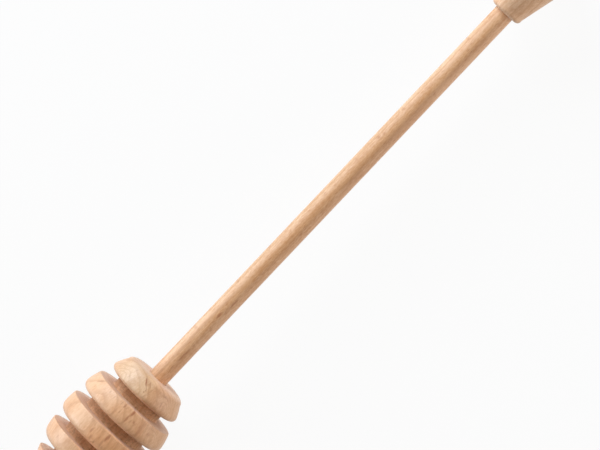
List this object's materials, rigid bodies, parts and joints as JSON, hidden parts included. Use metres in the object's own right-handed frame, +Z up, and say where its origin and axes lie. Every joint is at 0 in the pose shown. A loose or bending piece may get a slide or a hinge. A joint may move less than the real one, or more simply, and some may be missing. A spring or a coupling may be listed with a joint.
{
  "type": "honey dipper",
  "caption": "Turned wooden dipper with a grooved barrel head that holds honey, a slim round stick and a cone-shaped end knob.",
  "frame": {"origin": "on the surface that the dipper lies on, under the centre of its bounding box", "axes": "+X along the dipper from the grooved head towards the end knob, +Z up from the surface it lies on"},
  "size_m": [0.2144, 0.0298, 0.0298],
  "materials": {
    "head_wood": "unfinished beech, turned and sanded, rougher and darker in the grooves",
    "stick_wood": "unfinished beech dowel, straight grain, smooth",
    "knob_wood": "unfinished beech, turned and sanded"
  },
  "bodies": {
    "root": {"dipper_head": "head_wood", "stick": "stick_wood", "end_knob": "knob_wood"}
  },
  "joints": []
}
